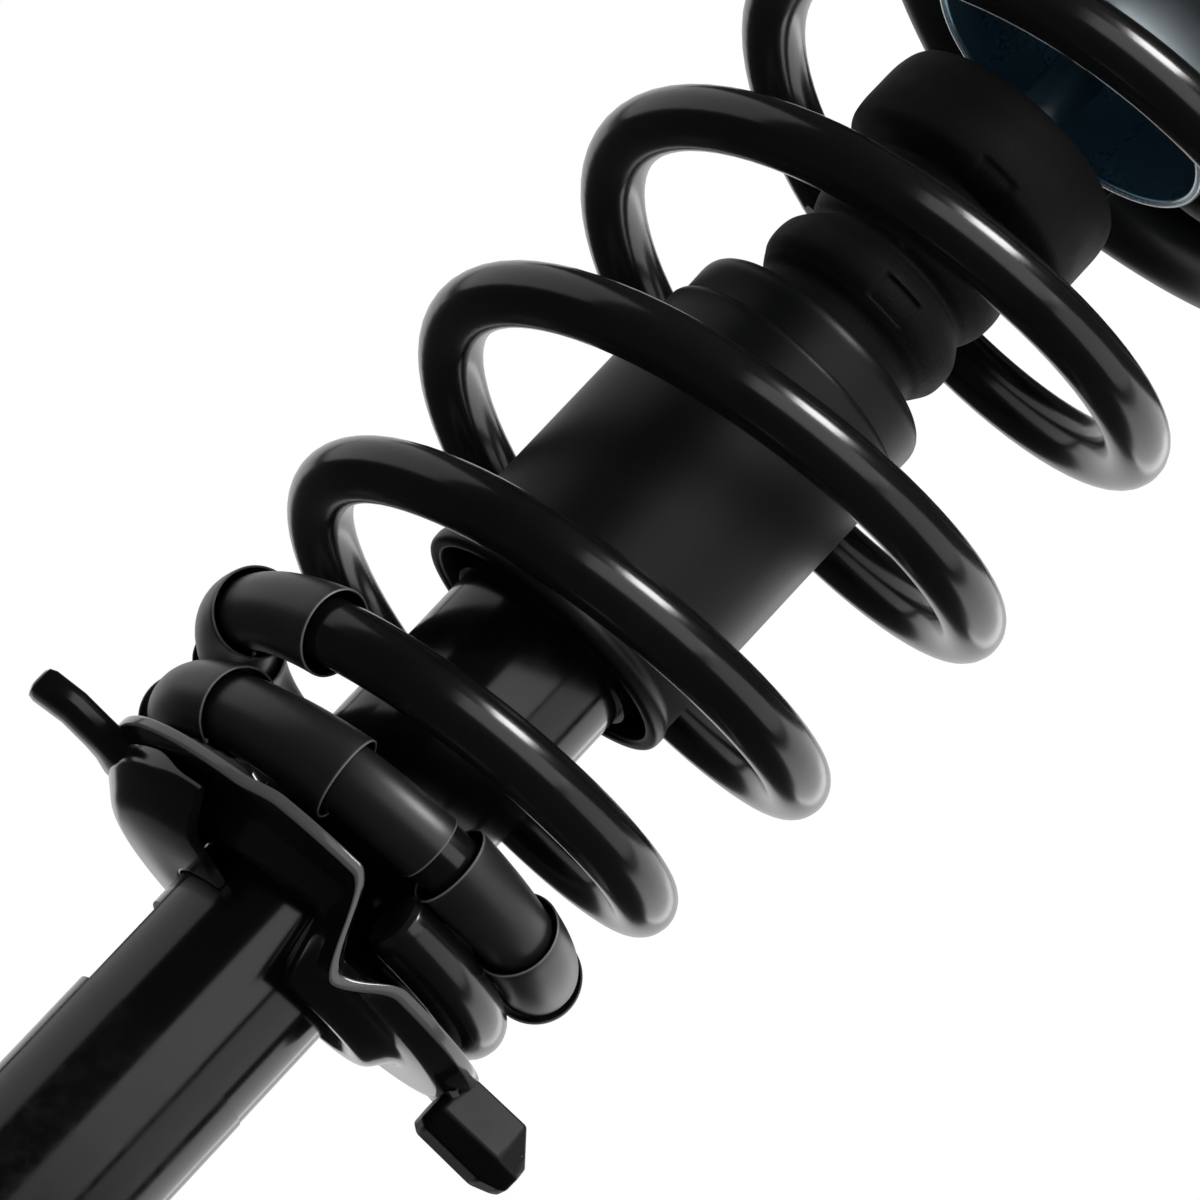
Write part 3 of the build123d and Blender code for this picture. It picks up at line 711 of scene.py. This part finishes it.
def buildSeat():
    s = seat
    lastAngle = s["firstAngle"] + s["sweep"]
    rings = []
    for i in range(s["sections"]):
        angle = s["firstAngle"] + s["sweep"] * i / s["sections"]
        corners = seatTop(angle)
        corners[-1] = (s["outer"], rimHeight(angle, corners[-1][1]))
        rings.append((angle, corners))
    high, low = seatTop(lastAngle), seatTop(s["firstAngle"])
    for i in range(s["stepSections"]):
        t = smooth(i / s["stepSections"])
        corners = [(between(a[0], b[0], t), between(a[1], b[1], t)) for a, b in zip(high, low)]
        angle = lastAngle + (360 - s["sweep"]) * i / s["stepSections"]
        corners[-1] = (s["outer"], rimHeight(angle, corners[-1][1]))
        rings.append((angle, corners))
    points = []
    for angle, corners in rings:
        a = radians(angle)
        points.append([(p.x * cos(a), p.x * sin(a), p.y) for p in seatSection(corners)])
    piece = ringMesh("lowerSpringSeat", points, ringsClosed=True, sharpAngle=50)
    # the outer edge face of the sheet takes the paler edge tone, a painted highlight where it faces the
    # light
    reach = (s["outer"] - 0.35) * mm
    markEdges(piece, [float(v.co.xy.length > reach) for v in piece.data.vertices])
    return piece


def barSection(x, width, height, centreZ, rounding, count=8, centreY=0.0):
    # a rounded rectangle in the plane at x
    corners = [(-width / 2, -height / 2, rounding), (width / 2, -height / 2, rounding),
               (width / 2, height / 2, rounding), (-width / 2, height / 2, rounding)]
    return [(x, centreY + p.x, centreZ + p.y) for p in roundedOutline(corners, steps=count)]


def joinPieces(pieces, name):
    bpy.ops.object.select_all(action="DESELECT")
    for piece in pieces:
        piece.select_set(True)
    bpy.context.view_layer.objects.active = pieces[0]
    bpy.ops.object.join()
    pieces[0].name = name
    return pieces[0]


def buildEars():
    s = seat
    level = s["earHeight"]
    hook = [(-46.0, 19.0, 6.4, level + 0.6, 1.6), (-49.2, 18.0, 6.8, level + 0.7, 2.0),
            (-52.5, 15.0, 6.6, level + 1.2, 2.6), (-56.0, 14.0, 6.6, level + 1.4, 3.0),
            (-63.0, 14.0, 6.6, level + 1.6, 3.0), (-70.5, 14.0, 6.8, level + 0.8, 3.0),
            (-72.0, 12.8, 6.0, level + 0.6, 2.8), (-72.5, 10.8, 4.4, level + 0.5, 2.0)]
    leftEar = ringMesh("hookEar", [barSection(x, w, h, z, r) for x, w, h, z, r in hook])
    tabLevel = s["earHeight"] - 6.4 + s["sheet"] / 2
    tab = [(46.0, 24.0, 3.0, tabLevel + 1.4, 0.9), (50.0, 19.0, 3.0, tabLevel + 0.4, 0.9),
           (53.0, 15.0, 3.0, tabLevel, 0.9), (56.0, s["tabWidth"], 3.0, tabLevel, 0.9),
           (s["tabEnd"], s["tabWidth"], 3.0, tabLevel, 0.9)]
    rightEar = ringMesh("tabEar", [barSection(x, w, h, z, r, 4) for x, w, h, z, r in tab])
    return [leftEar, rightEar]


lowerSeat = joinPieces([buildSeat()] + buildEars(), "lowerSpringSeat")
dress(lowerSeat, "blackEnamel", "tube", "lower_spring_seat")

# The pan under the high side of the seat. Its wall reaches the rim, then falls away in an arch.
pan = dict(firstAngle=112.0, sweep=120.0, sections=90, sheet=2.2, foot=148.4, wall=50.0, archFrom=226.0,
           archLength=16.0, archLow=158.2,
           bends=[(22.8, 0.0, 0.8), (42.9, 0.7, 2.5), (49.1, 6.3, 2.5), (50.0, 9.0, 1.5)])


def buildPan():
    p = pan
    rings = []
    for i in range(p["sections"] + 1):
        angle = p["firstAngle"] + p["sweep"] * i / p["sections"]
        groove, rim = seatTop(angle)[-2][1], seatTop(angle)[-1][1]
        share = (p["wall"] - seat["grooveOuter"]) / (seat["outer"] - seat["grooveOuter"])
        under = between(groove, rim, share) - seat["sheet"] - 0.05
        top = between(p["archLow"], under, smooth((p["archFrom"] - angle) / p["archLength"]))
        outer = [(radius, min(p["foot"] + rise, top - 0.5), bend) for radius, rise, bend in p["bends"]]
        inner = [(radius - p["sheet"] * (0.8 if rise else 0.0), min(height + p["sheet"], top - 0.2), bend)
                 for (radius, height, bend), (_, rise, _) in zip(outer, p["bends"])]
        outline = roundedOutline(outer + [(p["wall"], top, 0.6), (p["wall"] - p["sheet"], top, 0.6)]
                                 + inner[::-1], steps=6)
        a = radians(angle)
        rings.append([(q.x * cos(a), q.x * sin(a), q.y) for q in outline])
    return ringMesh("seatPan", rings)


dress(buildPan(), "blackEnamel", "tube", "seat_support")

# Rubber pad in the groove, with shallow ribs.
pad = dict(inner=38.5, outer=49.0, firstAngle=-60.0, sweep=300.0, sections=200, height=3.0, endDrop=1.2,
           glueGap=0.05, ribs=60, ribDepth=0.35)


def buildPad():
    s = pad
    rings = []
    for i in range(s["sections"] + 1):
        angle = s["firstAngle"] + s["sweep"] * i / s["sections"]
        foot = grooveHeight(angle) + s["glueGap"]
        end = min(i, s["sections"] - i)
        top = s["height"] - s["endDrop"] * (1 - smooth(end / 3))
        top -= s["ribDepth"] * (0.5 + 0.5 * cos(2 * pi * i * s["ribs"] / s["sections"]))
        outline = roundedOutline([(s["inner"], foot, 0.5), (s["outer"], foot, 0.5),
                                  (s["outer"], foot + top, 1.1), (s["inner"], foot + top, 1.1)], steps=4)
        a = radians(angle)
        rings.append([(p.x * cos(a), p.x * sin(a), p.y) for p in outline])
    return ringMesh("lowerSpringPad", rings)


dress(buildPad(), "padRubber", "tube", "lower_spring_pad")

# Moulded cap on the right ear: faceted, with a ridge along each side.
cap = dict(overhang=4.8, halfWidth=9.5, ridgeLow=0.36, shoulder=0.62)


def buildEarCap():
    low, high = boxOf("ear_cap")
    depth = high.z - low.z
    # stations along the ear: place, bottom, top and half width
    back = low.x - cap["overhang"]
    stations = [(back, 0.10, 1.0, 0.86), (back + 2.0, 0.02, 1.0, 1.0), (high.x - 6.0, 0.0, 1.0, 1.0),
                (high.x - 1.4, 0.10, 0.66, 0.86), (high.x, 0.16, 0.56, 0.78)]
    rings = []
    for x, bottom, top, wide in stations:
        half = cap["halfWidth"] * wide
        shape = [(-0.72, bottom), (0.72, bottom), (1.0, cap["ridgeLow"]), (0.66, top), (-0.66, top),
                 (-1.0, cap["ridgeLow"])]
        rings.append([(x, half * y, low.z + depth * z) for y, z in shape])
    piece = ringMesh("earCap", rings, sharpAngle=14)
    bevel = piece.modifiers.new("softEdges", "BEVEL")
    bevel.width, bevel.segments, bevel.limit_method = 0.55 * mm, 3, "ANGLE"
    bevel.angle_limit = radians(12)
    return piece


dress(buildEarCap(), "capPlastic", "tube", "ear_cap")
print("stage: seat, pan, pad and cap built")

# Dust boot and the ring on top of it.
boot = dict(radius=32.0, wall=2.5, low=238.0, shoulder=318.0, neck=21.0, ringTop=329.0, lip=0.9,
            ringInset=1.2)


def buildBoot():
    b = boot
    inside = b["radius"] - b["wall"]
    outline = roundedOutline([
        (inside, b["low"], 1.0), (b["radius"] + 0.7, b["low"], 1.4),
        (b["radius"] + b["lip"], b["low"] + 3.2, 1.2),
        (b["radius"], b["low"] + 5.0, 1.5), (b["radius"], b["shoulder"], 2.6),
        (b["neck"], b["shoulder"], 0.4),
        (b["neck"], b["shoulder"] - b["wall"], 0.4), (inside, b["shoulder"] - b["wall"], 2.5)], steps=5)
    piece = turned("dustBoot", denser(outline, 3.0), 192)
    dress(piece, "bootRubber", "stop", "dust_boot")
    ring = roundedOutline([
        (b["neck"] + 0.05, b["shoulder"] - 0.6, 0.3), (b["radius"] - 1.5, b["shoulder"] - 0.6, 0.2),
        (b["radius"] - b["ringInset"], b["ringTop"], 5.5), (b["neck"] + 0.05, b["ringTop"], 1.6)], steps=8)
    dress(turned("bootRing", denser(ring, 2.0), 192), "bootRubber", "stop", "boot_ring")


buildBoot()

# Bump stop: lobes with small moulded notches. Heights are above the boot ring's top.
# Each notch is height band, middle angle, half width in degrees and depth.
bumper = dict(
    neck=20.1, low=-8.0, bore=6.55, bodyTop=67.0, mouthRise=0.5,
    lobes=[(26.0, 67.0), (29.2, 65.8), (30.6, 61.5), (30.8, 55.0), (30.7, 49.5), (29.8, 46.4), (26.8, 44.6),
           (22.2, 43.6), (21.4, 41.6), (22.6, 38.6), (24.0, 34.0), (23.9, 29.0), (22.6, 25.2), (21.0, 22.8),
           (22.6, 20.6), (24.6, 17.0), (24.7, 12.0), (22.8, 8.4), (21.0, 5.8), (20.4, 1.2)],
    notches=[(9.5, 16.5, -79.0, 13.0, 0.9), (43.0, 49.2, -86.0, 10.0, 1.1), (30.0, 35.0, -70.0, 6.0, 0.6),
             (9.5, 16.5, 41.0, 13.0, 0.9), (43.0, 49.2, 34.0, 10.0, 1.1), (43.0, 49.2, 154.0, 10.0, 1.1),
             (9.5, 16.5, 161.0, 13.0, 0.9)])


def notched(radius, height, angle):
    turn = degrees(angle)
    above = height - boot["ringTop"]
    for low, high, centre, half, depth in bumper["notches"]:
        away = abs((turn - centre + 180) % 360 - 180)
        side = smooth((half - away) / 1.2)
        level = smooth((above - low) / 0.6) * smooth((high - above) / 0.6)
        radius -= depth * side * level if radius > 18 else 0.0
    return radius, height


def buildBumper():
    b = bumper
    base = boot["ringTop"]
    lobes = curveThrough([(radius, base + height) for radius, height in b["lobes"]], 10)
    foot, top = base + b["low"], base + b["bodyTop"]
    outline = [Vector((b["bore"], foot)), Vector((b["bore"], top - b["mouthRise"])),
               Vector((b["bore"] + b["mouthRise"], top))]
    outline += lobes + [Vector((b["neck"], base)), Vector((b["neck"], foot))]
    piece = turned("bumpStop", denser(outline, 1.2), 240, shape=notched, sharpAngle=60)
    dress(piece, "stopFoam", "stop", "bump_stop")


buildBumper()

# Cup over the bump stop, with a rolled rim.
cupShape = dict(radius=37.4, wall=1.5, floor=2.0, rim=415.0, top=448.5, bore=5.05, rimRadius=1.15)


def buildCup():
    c = cupShape
    foot = c["top"] - c["floor"]
    rimMiddle = Vector((c["radius"] - 0.35, c["rim"] + c["rimRadius"]))
    roll = []
    for i in range(13):
        a = radians(160 + 220 * i / 12)
        roll.append(rimMiddle + Vector((cos(a), sin(a))) * c["rimRadius"])
    inner = roundedOutline([(c["bore"], foot, 0.0), (c["radius"] - 5.5, foot, 3.0),
                            (c["radius"] - c["wall"], foot - 6.0, 3.0),
                            (c["radius"] - c["wall"], c["rim"] + 3.5, 0.0)], steps=6)
    outer = roundedOutline([(c["radius"], c["rim"] + 4.0, 0.0), (c["radius"], foot - 5.6, 3.0),
                            (c["radius"] - 4.4, c["top"], 3.0), (c["bore"], c["top"], 0.0)], steps=6)
    piece = turned("bumpCup", denser(inner + roll + outer, 2.5), 192, sharpAngle=40)
    inside = (c["radius"] - c["wall"] + 0.3) * mm
    markEdges(piece, [float(v.co.xy.length > inside) for v in piece.data.vertices])
    dress(piece, "blueZinc", "rod", "bump_cup")


buildCup()
print("stage: boot, bump stop and cup built")

# Upper pad: a rubber ramp that fills the space above the spring's last turn.
ramp = dict(first=6.05, sweep=0.85, sections=70, inner=46.0, outer=72.0, bareFrom=6.48, leastHeight=1.5,
            overSleeve=10.3, overWire=7.5)


def buildRamp():
    r = ramp
    top = boxOf("upper_spring_pad")[1].z
    rings = []
    for i in range(r["sections"] + 1):
        turn = r["first"] + r["sweep"] * i / r["sections"]
        over = r["overWire"] if turn > r["bareFrom"] else r["overSleeve"]
        under = min(wireHeight(turn) + over, top - r["leastHeight"])
        outline = roundedOutline([(r["inner"], under, 0.8), (r["outer"], under, 0.8),
                                  (r["outer"], top, 0.8), (r["inner"], top, 0.8)], steps=3)
        a = 2 * pi * turn
        rings.append([(p.x * cos(a), p.x * sin(a), p.y) for p in outline])
    dress(ringMesh("upperSpringPad", rings), "padRubber", "rod", "upper_spring_pad")


buildRamp()
print("stage: top mount built")

# Floor, lights and camera.
stage = dict(floorDrop=0.12, floorReach=0.95, floorTone=(0.80, 0.80, 0.79))


def buildFloor():
    work = bmesh.new()
    bmesh.ops.create_grid(work, x_segments=8, y_segments=8, size=stage["floorReach"])
    mesh = bpy.data.meshes.new("studioFloor")
    work.to_mesh(mesh)
    work.free()
    floor = bpy.data.objects.new("studioFloor", mesh)
    floor.location.z = cadBox[0].z - stage["floorDrop"]
    floor.visible_glossy = False
    bpy.context.scene.collection.objects.link(floor)
    material = bpy.data.materials.new("paleFloor")
    material.use_nodes = True
    tree = material.node_tree
    place = addNode(tree, "TexCoord", (-900, 0)).outputs["Object"]
    cloud = noiseNode(tree, place, 3.0, 3.0, (-700, 0))
    colour = mixColour(tree, cloud, stage["floorTone"], (0.76, 0.76, 0.755), (-400, 0))
    join(tree, colour, tree.nodes["Principled BSDF"].inputs["Base Color"])
    tree.nodes["Principled BSDF"].inputs["Roughness"].default_value = 0.8
    mesh.materials.append(material)


def softLight(name, place, aim, width, height, power):
    data = bpy.data.lights.new(name, "AREA")
    data.shape, data.size, data.size_y = "RECTANGLE", width, height
    data.energy = power
    lamp = bpy.data.objects.new(name, data)
    lamp.location = place
    lamp.visible_camera = False
    lamp.rotation_mode = "QUATERNION"
    lamp.rotation_quaternion = (Vector(aim) - Vector(place)).to_track_quat("-Z", "Y")
    bpy.context.scene.collection.objects.link(lamp)


def buildWorld():
    world = bpy.data.worlds.new("studio")
    bpy.context.scene.world = world
    world.use_nodes = True
    tree = world.node_tree
    shine = tree.nodes["Background"]
    shine.inputs["Color"].default_value = (0.03, 0.031, 0.033, 1)
    backdrop = addNode(tree, "Background", (0, -200))
    backdrop.inputs["Color"].default_value = (1, 1, 1, 1)
    path = addNode(tree, "LightPath", (-200, 300))
    mix = addNode(tree, "MixShader", (250, 0))
    join(tree, path.outputs["Is Camera Ray"], mix.inputs["Fac"])
    join(tree, shine.outputs[0], mix.inputs[1])
    join(tree, backdrop.outputs[0], mix.inputs[2])
    join(tree, mix.outputs[0], tree.nodes["World Output"].inputs["Surface"])


buildFloor()
buildWorld()
# Each light: place, width, height and power.
lights = dict(
    keyTop=((0.15, -0.75, 1.35), 0.35, 0.5, 13), frontPanel=((0.36, -1.25, 0.75), 1.4, 1.1, 7.0),
    sidePanel=((1.21, -0.48, 0.75), 1.1, 1.1, 3.8), rightPanel=((1.03, 0.70, 0.6), 1.2, 1.4, 8.0),
    leftPanel=((-1.3, 0.3, 0.6), 1.8, 1.4, 5.5), backPanel=((0.0, 1.5, 0.6), 2.4, 1.4, 9.0))
for name, (place, width, height, power) in lights.items():
    softLight(name, place, (0.0, 0.0, 0.27), width, height, power)

lens = dict(target=(2.48, 0.0, 254.4), distance=1143.7, tilt=14.597, roll=46.815, focal=158.9, sensor=36.0)


def buildCamera():
    tilt, roll = radians(lens["tilt"]), radians(lens["roll"])
    sideways = Vector((1, 0, 0))
    upright = Vector((0, -sin(tilt), cos(tilt)))
    forward = Vector((0, cos(tilt), sin(tilt)))
    right = sideways * sin(roll) + upright * cos(roll)
    up = -sideways * cos(roll) + upright * sin(roll)
    data = bpy.data.cameras.new("camera")
    data.lens, data.sensor_width = lens["focal"], lens["sensor"]
    data.clip_start, data.clip_end = 0.01, 20
    camera = bpy.data.objects.new("camera", data)
    turnMatrix = Matrix((right, up, -forward)).transposed().to_4x4()
    turnMatrix.translation = (Vector(lens["target"]) - forward * lens["distance"]) * mm
    camera.matrix_world = turnMatrix
    bpy.context.scene.collection.objects.link(camera)
    bpy.context.scene.camera = camera


buildCamera()
bpy.context.scene.view_settings.view_transform = "Standard"
print("stage: floor, lights and camera set")
